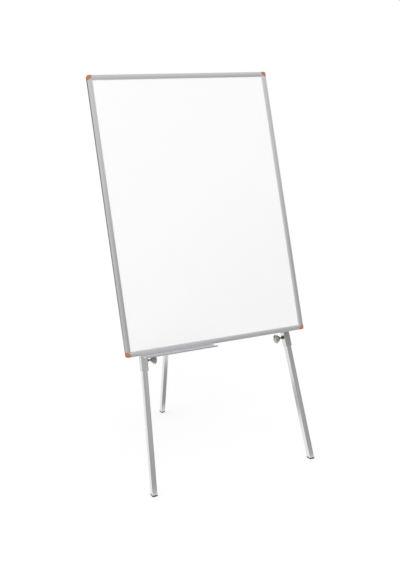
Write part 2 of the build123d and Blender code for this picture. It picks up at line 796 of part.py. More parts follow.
print("sub-parts", len(parts))
print("middle of the box, before it is moved to the origin", round(middle_x, 4), round(middle_y, 4))
print("hinge heel", round(heel, 2), "front leg to floor", round(ground_distance(front_leg[1]), 2))
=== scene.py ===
# %% [markdown]
# # A whiteboard easel on telescopic legs
#
# The easel's construction comes in as a fixed frame: every rail, tube, clamp and screw at its real size,
# in metres, standing on the floor with the board facing -Y. This script gives each surface its finish,
# models the few pieces whose shape wants more care than a plain solid has, and lights the whole like a
# catalogue picture.

from math import atan2, cos, pi, radians, sin

import bmesh
import bpy
from mathutils import Matrix, Vector


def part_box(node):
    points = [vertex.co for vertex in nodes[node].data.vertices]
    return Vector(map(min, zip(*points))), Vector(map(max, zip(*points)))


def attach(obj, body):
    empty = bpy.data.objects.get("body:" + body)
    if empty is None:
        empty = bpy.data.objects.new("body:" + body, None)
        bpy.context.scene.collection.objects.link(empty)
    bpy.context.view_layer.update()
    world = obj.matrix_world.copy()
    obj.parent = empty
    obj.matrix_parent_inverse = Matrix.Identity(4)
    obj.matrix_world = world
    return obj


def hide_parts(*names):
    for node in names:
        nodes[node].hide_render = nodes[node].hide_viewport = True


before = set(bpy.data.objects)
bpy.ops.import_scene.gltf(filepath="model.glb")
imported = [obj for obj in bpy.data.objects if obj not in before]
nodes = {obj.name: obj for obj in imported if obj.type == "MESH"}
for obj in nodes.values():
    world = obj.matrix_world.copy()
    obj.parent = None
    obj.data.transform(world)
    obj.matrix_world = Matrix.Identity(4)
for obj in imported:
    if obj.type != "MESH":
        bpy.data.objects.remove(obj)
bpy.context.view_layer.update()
scene = bpy.context.scene


def brief(vector):
    """A vector's numbers to the millimetre, for printing."""
    return tuple(round(number, 3) for number in vector)


# %% [markdown]
# ## Directions on the easel
#
# Three kinds of direction come back again and again: up the leaning board, out of its front, and down
# each leg. They could be read off each piece, but they are worked out once, from the lean and the spread
# of the legs, so that a brushed finish can follow each piece and a modelled part can sit square on its
# tube.

# %% Directions
LEAN = radians(11.0)
SPLAY = radians(3.65)
REAR_ANGLE = radians(23.0)
MM = 0.001

right = Vector((1, 0, 0))
board_up = Vector((0, sin(LEAN), cos(LEAN)))
board_out = Vector((0, -cos(LEAN), sin(LEAN)))
leg_up = {
    "left": board_up * cos(SPLAY) + right * sin(SPLAY),
    "right": board_up * cos(SPLAY) - right * sin(SPLAY),
    "rear": Vector((0, -sin(REAR_ANGLE), cos(REAR_ANGLE))),
}
print("legs point", {side: brief(up) for side, up in leg_up.items()})

# %% [markdown]
# ## Camera
#
# The photograph was taken from the left, at about the height of the board's middle, with the camera held
# a few degrees out of level. A camera can be turned by angles or be told to track a point, but neither
# gives such a roll plainly. A camera in Blender looks along its own -Z, so its matrix is built from the
# line of sight and the picture's own right and up directions, turned by that roll.

# %% Camera
STAND = Vector((-0.9392, -2.6669, 1.0685))
AZIMUTH = radians(20.901)
DIP = radians(8.373)
ROLL = radians(-4.359)
FOCAL_PX = 701.9
FRAME_HEIGHT_PX = 570
SENSOR_MM = 36.0

sight = Vector((sin(AZIMUTH) * cos(DIP), cos(AZIMUTH) * cos(DIP), -sin(DIP)))
level_right = Vector((cos(AZIMUTH), -sin(AZIMUTH), 0))
level_up = level_right.cross(sight)
picture_right = level_right * cos(ROLL) + level_up * sin(ROLL)
picture_up = level_up * cos(ROLL) - level_right * sin(ROLL)
view_turn = Matrix((picture_right, picture_up, -sight)).transposed().to_4x4()

camera = bpy.data.objects.new("camera", bpy.data.cameras.new("camera"))
scene.collection.objects.link(camera)
camera.matrix_world = Matrix.Translation(STAND) @ view_turn
camera.data.sensor_width = SENSOR_MM
camera.data.lens = FOCAL_PX * SENSOR_MM / FRAME_HEIGHT_PX
scene.camera = camera
print("lens", round(camera.data.lens, 2), "mm")

# %% [markdown]
# ## Building node trees
#
# Every material is a small network of nodes. A few helpers keep that readable: one adds a node, one fills
# a socket, and one fills several of a node's sockets by name. What fills a socket may be a number, a
# colour or another node's output, so a whole network reads from the pattern to the shader like a recipe.

# %% Node helpers
def add_node(tree, kind, **settings):
    """A new node with its properties set; its sockets are left to feed()."""
    node = tree.nodes.new(kind)
    for name, value in settings.items():
        setattr(node, name, value)
    return node


def fill(tree, socket, value):
    """Link another node's output to a socket, or set a plain value on it."""
    if isinstance(value, bpy.types.NodeSocket):
        tree.links.new(value, socket)
    else:
        socket.default_value = value


def feed(tree, node, **sockets):
    """Fill a node's sockets by their names, in which an underscore stands for a space."""
    for name, value in sockets.items():
        fill(tree, node.inputs[name.replace("_", " ")], value)
    return node


def calculate(tree, operation, first, second=0.0, clamp=False):
    """One step of arithmetic on two values."""
    node = add_node(tree, "ShaderNodeMath", operation=operation, use_clamp=clamp)
    for socket, value in zip(node.inputs, (first, second)):
        fill(tree, socket, value)
    return node.outputs[0]


def blend_colours(tree, share, first, second):
    """The first colour where share is 0, the second where it is 1."""
    node = add_node(tree, "ShaderNodeMix", data_type="RGBA")
    for socket, value in ((node.inputs[0], share), (node.inputs[6], first), (node.inputs[7], second)):
        fill(tree, socket, value)
    return node.outputs[2]


def spread(tree, value, low, high, to_low=0.0, to_high=1.0):
    """Map a value's range onto another one, held at its ends."""
    node = add_node(tree, "ShaderNodeMapRange", clamp=True)
    feed(tree, node, Value=value, From_Min=low, From_Max=high, To_Min=to_low, To_Max=to_high)
    return node.outputs[0]


def ray_masks(tree):
    """Two masks: rays straight from the camera, and rays by way of gloss or glass."""
    rays = add_node(tree, "ShaderNodeLightPath").outputs
    mirrored = calculate(tree, "ADD", rays["Is Glossy Ray"], rays["Is Transmission Ray"], clamp=True)
    return rays["Is Camera Ray"], mirrored


def grey(level):
    """A colour with the same red, green and blue."""
    return (level, level, level, 1.0)


# %% [markdown]
# ## Floor
#
# The easel stands on a seamless white sweep. What the camera sees of it is plain white. What the metal
# sees matters more, because a polished tube is only as bright as what it reflects. Black and white cards
# could stand round the easel, as in a studio, but here the floor itself answers reflected rays with a
# value that depends on the place: white in most places, duller beside the camera, and dark far behind on
# the left. A narrow dull band that runs back under the board is painted shade: for reflected rays only,
# it stands in for the easel's own shadow on the floor there. To the camera half of its white is its own
# glow and half is the light that falls on it, so that a soft shadow shows.

# %% Floor
FLOOR_SIZE = 14.0
WHITE_SHARE = 0.5
SHADOW_SHARE = 0.5
DULL_FLOOR = 0.37
DULL_UP_TO_Y = (-0.62, -0.5)
# Where the painted shade lies: a dull band under the board, seen only in reflections, that stands for the
# easel's shadow.
PAINTED_SHADE_MIDDLE_X = 0.035
PAINTED_SHADE_HALF_WIDTHS = (0.035, 0.1)
PAINTED_SHADE_WIDENS_Y = (0.1, 0.3)
PAINTED_SHADE_ENDS_Y = (0.36, 0.42)
PAINTED_SHADE_FADE = 0.03
FAR_FLOOR = 0.12
FAR_LEFT_X = (-0.7, -0.5)
FAR_LEFT_Y = (1.9, 2.2)

mesh = bpy.data.meshes.new("floor")
shape = bmesh.new()
bmesh.ops.create_grid(shape, x_segments=1, y_segments=1, size=FLOOR_SIZE / 2)
shape.to_mesh(mesh)
shape.free()
floor = bpy.data.objects.new("floor", mesh)
scene.collection.objects.link(floor)

paper = bpy.data.materials.new("paper_sweep")
paper.use_nodes = True
tree = paper.node_tree
tree.nodes.clear()
place = add_node(tree, "ShaderNodeSeparateXYZ")
tree.links.new(add_node(tree, "ShaderNodeTexCoord").outputs["Object"], place.inputs[0])
floor_x, floor_y = place.outputs[:2]
direct, mirrored = ray_masks(tree)

# Painted shade: a dull band under the board, for reflected rays only, that stands in for the easel's
# shadow.
off_middle = calculate(tree, "ABSOLUTE", calculate(tree, "SUBTRACT", floor_x, PAINTED_SHADE_MIDDLE_X))
half_width = spread(tree, floor_y, *PAINTED_SHADE_WIDENS_Y, *PAINTED_SHADE_HALF_WIDTHS)
painted_shade_strip = spread(tree, calculate(tree, "SUBTRACT", off_middle, half_width), 0.0, PAINTED_SHADE_FADE, 1.0, 0.0)
painted_shade_strip = calculate(tree, "MULTIPLY", painted_shade_strip, spread(tree, floor_y, *PAINTED_SHADE_ENDS_Y, 1.0, 0.0))
far_left = calculate(tree, "MULTIPLY", spread(tree, floor_y, *FAR_LEFT_Y),
                     spread(tree, floor_x, *FAR_LEFT_X, 1.0, 0.0))
bright = calculate(tree, "SUBTRACT", spread(tree, floor_y, *DULL_UP_TO_Y), painted_shade_strip, clamp=True)
level = spread(tree, bright, 0.0, 1.0, DULL_FLOOR, 1.0)
level = calculate(tree, "MULTIPLY", level, spread(tree, far_left, 0.0, 1.0, 1.0, FAR_FLOOR))

glow = blend_colours(tree, mirrored, grey(WHITE_SHARE), level)
shown = calculate(tree, "ADD", direct, mirrored, clamp=True)
emission = feed(tree, add_node(tree, "ShaderNodeEmission"), Color=glow, Strength=shown)
diffuse = feed(tree, add_node(tree, "ShaderNodeBsdfDiffuse"), Color=grey(SHADOW_SHARE))
both = add_node(tree, "ShaderNodeAddShader")
tree.links.new(diffuse.outputs[0], both.inputs[0])
tree.links.new(emission.outputs[0], both.inputs[1])
lit = add_node(tree, "ShaderNodeMixShader")
for socket, value in zip(lit.inputs, (mirrored, both.outputs[0], emission.outputs[0])):
    tree.links.new(value, socket)
tree.links.new(lit.outputs[0], add_node(tree, "ShaderNodeOutputMaterial").inputs[0])
mesh.materials.append(paper)
print("floor", FLOOR_SIZE, "m wide, with", len(tree.nodes), "nodes")

# %% [markdown]
# ## Room
#
# The world is the rest of what the metal mirrors. An image of a room would do it, but a few bands by
# height and direction are enough and can be moved one by one: a front wall that gets lighter upwards, a
# dark corner in front on the right, and a dark doorway behind on the left. The world lights everything
# else evenly, and the camera sees it as white.

# %% World
FILL = 1.0
ROOM_FRONT = 0.5
ROOM_ABOVE = 0.68
ROOM_DARK = 0.05
FRONT_UP_TO_Y = (-0.35, 0.25)
FRONT_RISE = (2.0, 16.0)
CORNER_AZIMUTHS = (19.0, 22.0, 42.0, 52.0)
CORNER_HEIGHTS = (5.0, 8.0, 14.0, 18.0)
DOORWAY_AZIMUTHS = (1.0, 6.0, 60.0, 75.0)
DOORWAY_TOP = (24.0, 34.0)

world = bpy.data.worlds.new("studio")
scene.world = world
world.use_nodes = True
tree = world.node_tree
tree.nodes.clear()
direction = add_node(tree, "ShaderNodeSeparateXYZ")
tree.links.new(add_node(tree, "ShaderNodeTexCoord").outputs["Generated"], direction.inputs[0])
to_x, to_y, to_z = direction.outputs[:3]
direct, mirrored = ray_masks(tree)


def by_angle(tree, angle, low, high, to_low=0.0, to_high=1.0):
    """Map a range of angles, given in degrees, onto another range."""
    return spread(tree, angle, radians(low), radians(high), to_low, to_high)


def band(tree, angle, limits):
    """One between the middle two of four angles in degrees, fading to nought at the outer two."""
    rising = by_angle(tree, angle, *limits[:2])
    return calculate(tree, "MULTIPLY", rising, by_angle(tree, angle, *limits[2:], 1.0, 0.0))


elevation = calculate(tree, "ARCSINE", to_z)
in_front = spread(tree, to_y, *FRONT_UP_TO_Y, 1.0, 0.0)
front_wall = by_angle(tree, elevation, *FRONT_RISE, ROOM_FRONT, ROOM_ABOVE)
room = blend_colours(tree, in_front, grey(1.0), front_wall)
to_right = calculate(tree, "ARCTAN2", to_x, calculate(tree, "MULTIPLY", to_y, -1.0))
corner = band(tree, to_right, CORNER_AZIMUTHS)
corner = calculate(tree, "MULTIPLY", corner, band(tree, elevation, CORNER_HEIGHTS))
to_left = calculate(tree, "ARCTAN2", calculate(tree, "MULTIPLY", to_x, -1.0), to_y)
doorway = by_angle(tree, elevation, *DOORWAY_TOP, 1.0, 0.0)
doorway = calculate(tree, "MULTIPLY", band(tree, to_left, DOORWAY_AZIMUTHS), doorway)
dark = calculate(tree, "ADD", corner, doorway, clamp=True)
room = blend_colours(tree, dark, room, grey(ROOM_DARK))
colour = blend_colours(tree, mirrored, grey(FILL), room)
colour = blend_colours(tree, direct, colour, grey(1.0))
background = feed(tree, add_node(tree, "ShaderNodeBackground"), Color=colour)
tree.links.new(background.outputs[0], add_node(tree, "ShaderNodeOutputWorld").inputs[0])
print("room with", len(tree.nodes), "nodes")

# %% [markdown]
# ## Lamps
#
# Two softboxes add a direction to the even light: a large one over the camera and a weaker one on the
# left, for the soft shade under the rails and the tray. Point lamps would give hard shadows, which the
# photograph doesn't have. The metal mirrors the room and not the lamps, so both are hidden from
# reflections.

# %% Lamps
def softbox(name, place, target, width, height, radiance):
    """A rectangular lamp whose face looks as bright as radiance, and that no metal mirrors."""
    lamp = bpy.data.lights.new(name, "AREA")
    lamp.shape = "RECTANGLE"
    lamp.size = width
    lamp.size_y = height
    lamp.energy = radiance * pi * width * height
    obj = bpy.data.objects.new(name, lamp)
    scene.collection.objects.link(obj)
    obj.location = place
    obj.rotation_euler = (Vector(target) - Vector(place)).to_track_quat("-Z", "Y").to_euler()
    obj.visible_glossy = False
    print(name, round(lamp.energy, 1), "W")


softbox("front_box", (-0.9, -4.4, 2.4), (0.05, -0.2, 0.8), width=3.0, height=2.4, radiance=1.75)
softbox("left_box", (-4.0, -0.6, 1.8), (0.0, 0.0, 0.7), width=2.0, height=2.4, radiance=0.5)
scene.view_settings.view_transform = "Standard"

# %% [markdown]
# ## Shared effects
#
# Real finishes share a few habits, whatever their colour. Each habit could be built anew in every
# material, but as a node group with a few inputs it is built once here and placed in the materials with
# their own values. A group hands out only masks, values and heights, and the shader that uses them stays
# in the material.

# %% Group helpers
def new_group(name, numbers, results):
    """A node group that takes coordinates and numbers, with its inputs and its output node."""
    group = bpy.data.node_groups.new(name, "ShaderNodeTree")
    group.interface.new_socket(name="Vector", in_out="INPUT", socket_type="NodeSocketVector")
    for label, value in numbers.items():
        socket = group.interface.new_socket(name=label, in_out="INPUT", socket_type="NodeSocketFloat")
        socket.default_value = value
    for label in results:
        group.interface.new_socket(name=label, in_out="OUTPUT", socket_type="NodeSocketFloat")
    return group, group.nodes.new("NodeGroupInput").outputs, group.nodes.new("NodeGroupOutput")


def place_group(tree, group, **values):
    """Put a group into a tree and fill its inputs; returns its outputs."""
    node = add_node(tree, "ShaderNodeGroup", node_tree=group)
    return feed(tree, node, **values).outputs


def noise(tree, vector, scale, detail=2.0, roughness=0.5):
    """Cloudy noise between nought and one."""
    node = add_node(tree, "ShaderNodeTexNoise")
    return feed(tree, node, Vector=vector, Scale=scale, Detail=detail, Roughness=roughness).outputs["Fac"]


# %% [markdown]
# ### Drawn lines
#
# Extruded and drawn metal carries fine lines along its length. A wave texture makes them too even, so
# noise is stretched along the piece instead, once at the width of a line and once as broader streaks. The
# coordinates come in already stretched, because only the material knows which way its piece runs.

# %% Drawn lines
FINE_SHARE = 0.4

drawn_lines, given, result = new_group("drawn_lines", {"Streaks": 0.08}, ["Tone", "Height"])
fine = noise(drawn_lines, given["Vector"], 1.0, 3.0, 0.6)
broad = noise(drawn_lines, given["Vector"], given["Streaks"], 2.0)
tone = calculate(drawn_lines, "ADD", calculate(drawn_lines, "MULTIPLY", fine, FINE_SHARE),
                 calculate(drawn_lines, "MULTIPLY", broad, 1.0 - FINE_SHARE))
feed(drawn_lines, result, Tone=spread(drawn_lines, tone, 0.32, 0.68), Height=fine)
print("drawn_lines gives", [socket.name for socket in result.inputs if socket.name])

# %% [markdown]
# ### Rubbed edges
#
# Corners that hands and table edges touch are rubbed brighter. The pieces have no painted wear map, and
# each would need its own. The Bevel node gives one for any shape: near an edge it bends the normal away
# from the true one, and the angle between the two is the mask, broken up into patches.

# %% Rubbed edges
rubbed_edges, given, result = new_group("rubbed_edges", {"Radius": 0.0006, "Breakup": 90.0}, ["Mask"])
rounded = feed(rubbed_edges, add_node(rubbed_edges, "ShaderNodeBevel", samples=4), Radius=given["Radius"])
flat = add_node(rubbed_edges, "ShaderNodeNewGeometry")
turned = add_node(rubbed_edges, "ShaderNodeVectorMath", operation="DOT_PRODUCT")
rubbed_edges.links.new(rounded.outputs[0], turned.inputs[0])
rubbed_edges.links.new(flat.outputs["Normal"], turned.inputs[1])
edge = spread(rubbed_edges, turned.outputs["Value"], 0.995, 0.86)
patches = spread(rubbed_edges, noise(rubbed_edges, given["Vector"], given["Breakup"], 3.0), 0.4, 0.65)
feed(rubbed_edges, result, Mask=calculate(rubbed_edges, "MULTIPLY", edge, patches))
print("rubbed_edges gives", [socket.name for socket in result.inputs if socket.name])

# %% [markdown]
# ### Moulded grain
#
# Moulded plastic and rubber have an even pebble grain from the etched mould. Noise is too ragged for it,
# so smoothed Voronoi cells give the pebbles, and slow clouds vary the colour a little.

# %% Moulded grain
moulded_grain, given, result = new_group("moulded_grain", {"Scale": 1800.0}, ["Tone", "Height"])
pebbles = add_node(moulded_grain, "ShaderNodeTexVoronoi", feature="SMOOTH_F1")
feed(moulded_grain, pebbles, Vector=given["Vector"], Scale=given["Scale"], Smoothness=0.6)
clouds = noise(moulded_grain, given["Vector"], 45.0, 3.0)
tone = spread(moulded_grain, clouds, 0.3, 0.7)
feed(moulded_grain, result, Tone=tone, Height=pebbles.outputs["Distance"])
print("moulded_grain gives", [socket.name for socket in result.inputs if socket.name])

# %% [markdown]
# ### Settled dust
#
# Dust lies on what faces up. The normal's upward part is therefore the mask, times a noise of fine
# specks, so that a leg that swings to another angle keeps a likely coat.

# %% Settled dust
settled_dust, given, result = new_group("settled_dust", {"Amount": 0.3}, ["Mask"])
facing = add_node(settled_dust, "ShaderNodeSeparateXYZ")
settled_dust.links.new(add_node(settled_dust, "ShaderNodeNewGeometry").outputs["Normal"], facing.inputs[0])
upward = spread(settled_dust, facing.outputs["Z"], 0.45, 0.95)
specks = spread(settled_dust, noise(settled_dust, given["Vector"], 160.0, 4.0, 0.7), 0.42, 0.7)
lying = calculate(settled_dust, "MULTIPLY", upward, specks)
feed(settled_dust, result, Mask=calculate(settled_dust, "MULTIPLY", lying, given["Amount"]))
print("settled_dust gives", [socket.name for socket in result.inputs if socket.name])

# %% [markdown]
# ## Finishes
#
# A helper opens a material and sets the numbers that are the same all over the surface on the shader
# itself. What changes over the surface, such as colour, roughness and the fine relief, is then linked.

# %% Material helpers
EDGE_RADIUS = 0.5 * MM


def new_finish(name, **settings):
    """A material with its tree, its shader and its object coordinates."""
    material = bpy.data.materials.new(name)
    material.use_nodes = True
    tree = material.node_tree
    shader = feed(tree, tree.nodes["Principled BSDF"], **settings)
    return material, tree, shader, add_node(tree, "ShaderNodeTexCoord").outputs["Object"]


def relief(tree, shader, height, distance):
    """Fine bumps of a height in metres."""
    bump = feed(tree, add_node(tree, "ShaderNodeBump"), Height=height, Distance=distance, Strength=1.0)
    feed(tree, shader, Normal=bump.outputs[0])


def stretched(tree, vector, along, across, length):
    """Coordinates turned so that Z runs along a piece, stretched to grains of that width and length."""
    turn = along.to_track_quat("Z", "X").to_euler()
    node = add_node(tree, "ShaderNodeMapping", vector_type="TEXTURE")
    return feed(tree, node, Vector=vector, Rotation=turn, Scale=(across, across, length)).outputs[0]


def shade(colour, factor):
    """A colour made darker or lighter by a factor."""
    return tuple(part * factor for part in colour[:3]) + (1.0,)


# %% [markdown]
# ## Anodised aluminium
#
# The frame, the tray and the tubes are extruded aluminium, etched and anodised. The etch makes them satin
# rather than mirror bright, the die leaves faint lines along the length, and the clear layer has a slight
# violet tint. The shader's own anisotropy could stand for the lines, but real relief lines also show up
# close. One function makes the finish for any direction, because the lines have to run along each rail
# and each leg.

# %% Anodised finishes
GRAIN_WIDTH = 0.25 * MM
GRAIN_LENGTH = 45 * MM
LINE_RELIEF = 0.012 * MM
STREAKS = 0.08
EDGE_WEAR = 0.6
BARE_ALUMINIUM = grey(0.9)
METAL_DUST = grey(0.55)
FRAME_TINT = (0.86, 0.85, 0.875)
LEG_TINT = (0.80, 0.80, 0.80)


def anodised(name, along, tint, roughness):
    """Satin aluminium whose lines run along a direction."""
    material, tree, shader, place = new_finish(name, Metallic=1.0)
    vector = stretched(tree, place, along, GRAIN_WIDTH, GRAIN_LENGTH)
    lines = place_group(tree, drawn_lines, Vector=vector, Streaks=STREAKS)
    colour = blend_colours(tree, lines["Tone"], shade(tint, 0.93), shade(tint, 1.05))
    rubbed = place_group(tree, rubbed_edges, Vector=place, Radius=EDGE_RADIUS)["Mask"]
    rubbed = calculate(tree, "MULTIPLY", rubbed, EDGE_WEAR)
    colour = blend_colours(tree, rubbed, colour, BARE_ALUMINIUM)
    dust = place_group(tree, settled_dust, Vector=place, Amount=0.16)["Mask"]
    colour = blend_colours(tree, dust, colour, METAL_DUST)
    satin = spread(tree, lines["Tone"], 0.0, 1.0, roughness + 0.05, roughness - 0.05)
    satin = calculate(tree, "ADD", satin, calculate(tree, "MULTIPLY", dust, 0.5))
    feed(tree, shader, Base_Color=colour, Roughness=satin)
    relief(tree, shader, lines["Height"], LINE_RELIEF)
    return material


flat_rail_metal = anodised("anodised_rail_across", right, FRAME_TINT, 0.37)
upright_rail_metal = anodised("anodised_rail_upright", board_up, FRAME_TINT, 0.34)
tray_metal = anodised("anodised_tray", right, FRAME_TINT, 0.3)
tube_metal = {side: anodised(side + "_tube_metal", up, LEG_TINT, 0.3) for side, up in leg_up.items()}
leg_metal = {side: anodised(side + "_leg_metal", up, LEG_TINT, 0.24) for side, up in leg_up.items()}
bar_metal = anodised("anodised_cross_bar", right, LEG_TINT, 0.38)
single_metals = (flat_rail_metal, upright_rail_metal, tray_metal, bar_metal)
print("anodised:", [metal.name for metal in (*single_metals, *tube_metal.values(), *leg_metal.values())])

# %% [markdown]
# ## Clamp sleeves
#
# The sleeves are drawn steel, nickel plated and buffed along the tube, so they are the glossiest metal on
# the easel and show what stands around them. Buffing leaves a faint cloudiness, which could tint the
# colour but reads better in the roughness. Screws, rivets and brackets share the finish with a duller,
# rougher zinc.

# %% Sleeve finish
SLEEVE_TINT = (0.76, 0.765, 0.74)
ZINC_TINT = (0.70, 0.70, 0.67)
BUFFED_WIDTH = 0.4 * MM
BUFFED_LENGTH = 25 * MM
BUFFED_RELIEF = 0.008 * MM


def plated(name, along, tint, roughness):
    """Buffed plating: cloudy roughness, a faint lengthwise grain and brighter edges."""
    material, tree, shader, place = new_finish(name, Metallic=1.0)
    vector = stretched(tree, place, along, BUFFED_WIDTH, BUFFED_LENGTH)
    lines = place_group(tree, drawn_lines, Vector=vector, Streaks=0.12)
    clouds = spread(tree, noise(tree, place, 70.0, 4.0, 0.6), 0.3, 0.7)
    colour = blend_colours(tree, clouds, shade(tint, 0.95), shade(tint, 1.04))
    rubbed = place_group(tree, rubbed_edges, Vector=place, Radius=EDGE_RADIUS, Breakup=140.0)["Mask"]
    colour = blend_colours(tree, calculate(tree, "MULTIPLY", rubbed, 0.7), colour, grey(0.88))
    satin = spread(tree, clouds, 0.0, 1.0, roughness - 0.04, roughness + 0.06)
    satin = calculate(tree, "ADD", satin, calculate(tree, "MULTIPLY", lines["Tone"], 0.04))
    feed(tree, shader, Base_Color=colour, Roughness=satin)
    relief(tree, shader, lines["Height"], BUFFED_RELIEF)
    return material


sleeve_metal = {side: plated(side + "_sleeve_metal", up, SLEEVE_TINT, 0.15) for side, up in leg_up.items()}
zinc_metal = plated("zinc_plate", right, ZINC_TINT, 0.3)
print("plated:", [material.name for material in sleeve_metal.values()], zinc_metal.name)

# %% [markdown]
# ## Writing surface
#
# A dry-wipe sheet is white lacquer baked on thin steel. It is very pale and smooth, with the slight
# orange peel of a sprayed coat, and years of wiping leave long shallow arcs. Drawn in the colour they
# would look like dirt, so they only change how sharply the sheet reflects.

# %% Writing surface finish
SHEET_WHITES = ((0.925, 0.93, 0.925, 1), (0.95, 0.95, 0.95, 1))
WIPE_WIDTH = 9 * MM
WIPE_LENGTH = 160 * MM
PEEL_RELIEF = 0.004 * MM
WIPE_DIRECTION = (right + board_up * 0.45).normalized()

writing_white, tree, shader, place = new_finish("lacquered_sheet", Coat_Weight=0.25, Coat_Roughness=0.12)
wiped = stretched(tree, place, WIPE_DIRECTION, WIPE_WIDTH, WIPE_LENGTH)
wipes = spread(tree, noise(tree, wiped, 1.0, 3.0, 0.55), 0.35, 0.7)
peel = noise(tree, place, 420.0, 2.0)
colour = blend_colours(tree, noise(tree, place, 6.0, 3.0), *SHEET_WHITES)
feed(tree, shader, Base_Color=colour, Roughness=spread(tree, wipes, 0.0, 1.0, 0.3, 0.34))
relief(tree, shader, peel, PEEL_RELIEF)
print("writing surface:", writing_white.name)

# %% [markdown]
# ## Panel core and back sheet
#
# Behind the lacquer is a fibreboard core, whose cut edge shows short matted fibres, so noise is stretched
# only a little. The back is a hot-dip galvanised sheet. Zinc freezes in crystals some millimetres wide,
# each a slightly different grey and gloss, which noise can't give and a Voronoi pattern gives directly.

# %% Core and back finishes
FIBRE_BROWNS = ((0.23, 0.14, 0.08, 1), (0.42, 0.29, 0.18, 1))
ZINC_GREYS = ((0.46, 0.47, 0.48, 1), (0.63, 0.64, 0.65, 1))
ZINC_BLOOM = (0.55, 0.55, 0.54, 1)
CRYSTALS_PER_METRE = 95.0

core_fibre, tree, shader, place = new_finish("fibreboard", Specular_IOR_Level=0.25)
fibres = noise(tree, stretched(tree, place, right, 0.6 * MM, 5 * MM), 1.0, 4.0, 0.7)
colour = blend_colours(tree, spread(tree, fibres, 0.3, 0.7), *FIBRE_BROWNS)
feed(tree, shader, Base_Color=colour, Roughness=spread(tree, fibres, 0.2, 0.8, 0.8, 0.95))
relief(tree, shader, fibres, 0.15 * MM)

back_zinc, tree, shader, place = new_finish("galvanised_back", Metallic=1.0)
crystals = feed(tree, add_node(tree, "ShaderNodeTexVoronoi"), Vector=place, Scale=CRYSTALS_PER_METRE)
facet = add_node(tree, "ShaderNodeSeparateColor")
tree.links.new(crystals.outputs["Color"], facet.inputs[0])
clouds = spread(tree, noise(tree, place, 9.0, 3.0), 0.3, 0.7)
colour = blend_colours(tree, facet.outputs[0], *ZINC_GREYS)
colour = blend_colours(tree, calculate(tree, "MULTIPLY", clouds, 0.3), colour, ZINC_BLOOM)
feed(tree, shader, Base_Color=colour, Roughness=spread(tree, facet.outputs[1], 0.0, 1.0, 0.34, 0.52))
relief(tree, shader, facet.outputs[2], 0.02 * MM)
print("panel:", core_fibre.name, "and", back_zinc.name)

# %% [markdown]
# ## Plastics and rubber
#
# The moulded pieces differ in colour and gloss and share their grain: rust-orange corner caps, dark plugs
# and saddles, white nylon pads, and rubber feet that pick up dust from the floor. Four separate materials
# would repeat the same steps, so one function takes what differs.

# %% Moulded finishes
PLASTIC_DUST = (0.42, 0.40, 0.37, 1)


def moulded(name, colour, roughness, scale=1800.0, depth=0.02, pale=0.06, dusty=0.25):
    """Moulded plastic or rubber: pebble grain, cloudy colour, pale rubbed edges and a little dust."""
    material, tree, shader, place = new_finish(name)
    grain = place_group(tree, moulded_grain, Vector=place, Scale=scale)
    tone = blend_colours(tree, grain["Tone"], shade(colour, 0.9), shade(colour, 1.1))
    rubbed = place_group(tree, rubbed_edges, Vector=place, Radius=EDGE_RADIUS, Breakup=160.0)["Mask"]
    worn = tuple(part + pale for part in colour) + (1.0,)
    tone = blend_colours(tree, rubbed, tone, worn)
    dust = place_group(tree, settled_dust, Vector=place, Amount=dusty)["Mask"]
    tone = blend_colours(tree, dust, tone, PLASTIC_DUST)
    gloss = spread(tree, grain["Tone"], 0.0, 1.0, roughness - 0.05, roughness + 0.06)
    gloss = calculate(tree, "ADD", gloss, calculate(tree, "MULTIPLY", dust, 0.4))
    feed(tree, shader, Base_Color=tone, Roughness=gloss)
    relief(tree, shader, grain["Height"], depth * MM)
    return material


cap_orange = moulded("rust_orange_cap", (0.52, 0.166, 0.062), 0.36, pale=0.12, dusty=0.1)
plug_black = moulded("black_moulding", (0.03, 0.031, 0.033), 0.42)
foot_rubber = moulded("foot_rubber", (0.055, 0.055, 0.058), 0.62, scale=1200.0, depth=0.04, dusty=0.5)
pad_nylon = moulded("white_nylon", (0.78, 0.77, 0.73), 0.4, pale=0.05, dusty=0.1)
print("moulded:", [material.name for material in (cap_orange, plug_black, foot_rubber, pad_nylon)])

# %% [markdown]
# ## Dark steel and knobs
#
# The clamp screws and collars are blackened steel, and the knobs have a pewter-coloured plating. On both,
# handling rubs the corners back to brighter metal, and the surface is cloudy with use. A plain dark
# colour would look like plastic, so they stay fully metallic and only their tint is dark.

# %% Blackened steel and knob finishes
WEAR_RADIUS = 0.35 * MM


def blackened(name, colour, roughness, bright):
    """Dark steel or dark plated metal, rubbed back to bright at its edges."""
    material, tree, shader, place = new_finish(name, Metallic=1.0)
    clouds = spread(tree, noise(tree, place, 220.0, 4.0, 0.65), 0.3, 0.7)
    tone = blend_colours(tree, clouds, shade(colour, 0.82), shade(colour, 1.15))
    rubbed = place_group(tree, rubbed_edges, Vector=place, Radius=WEAR_RADIUS, Breakup=260.0)["Mask"]
    tone = blend_colours(tree, rubbed, tone, bright)
    gloss = spread(tree, clouds, 0.0, 1.0, roughness - 0.05, roughness + 0.08)
    feed(tree, shader, Base_Color=tone, Roughness=gloss)
    relief(tree, shader, clouds, 0.01 * MM)
    return material


screw_steel = blackened("blackened_steel", (0.15, 0.15, 0.14), 0.34, grey(0.45))
knob_metal = blackened("knob_pewter", (0.50, 0.50, 0.46), 0.24, grey(0.75))
print("dark metal:", screw_steel.name, "and", knob_metal.name)

# %% [markdown]
# ## Dressing the frame
#
# Each carried-over piece keeps its shape and gets its finish here. The rule could be one line per piece,
# but it is written down as a list of name endings, so that the left, right and rear copies of a piece
# share one line. Small hardware that no line names is zinc.

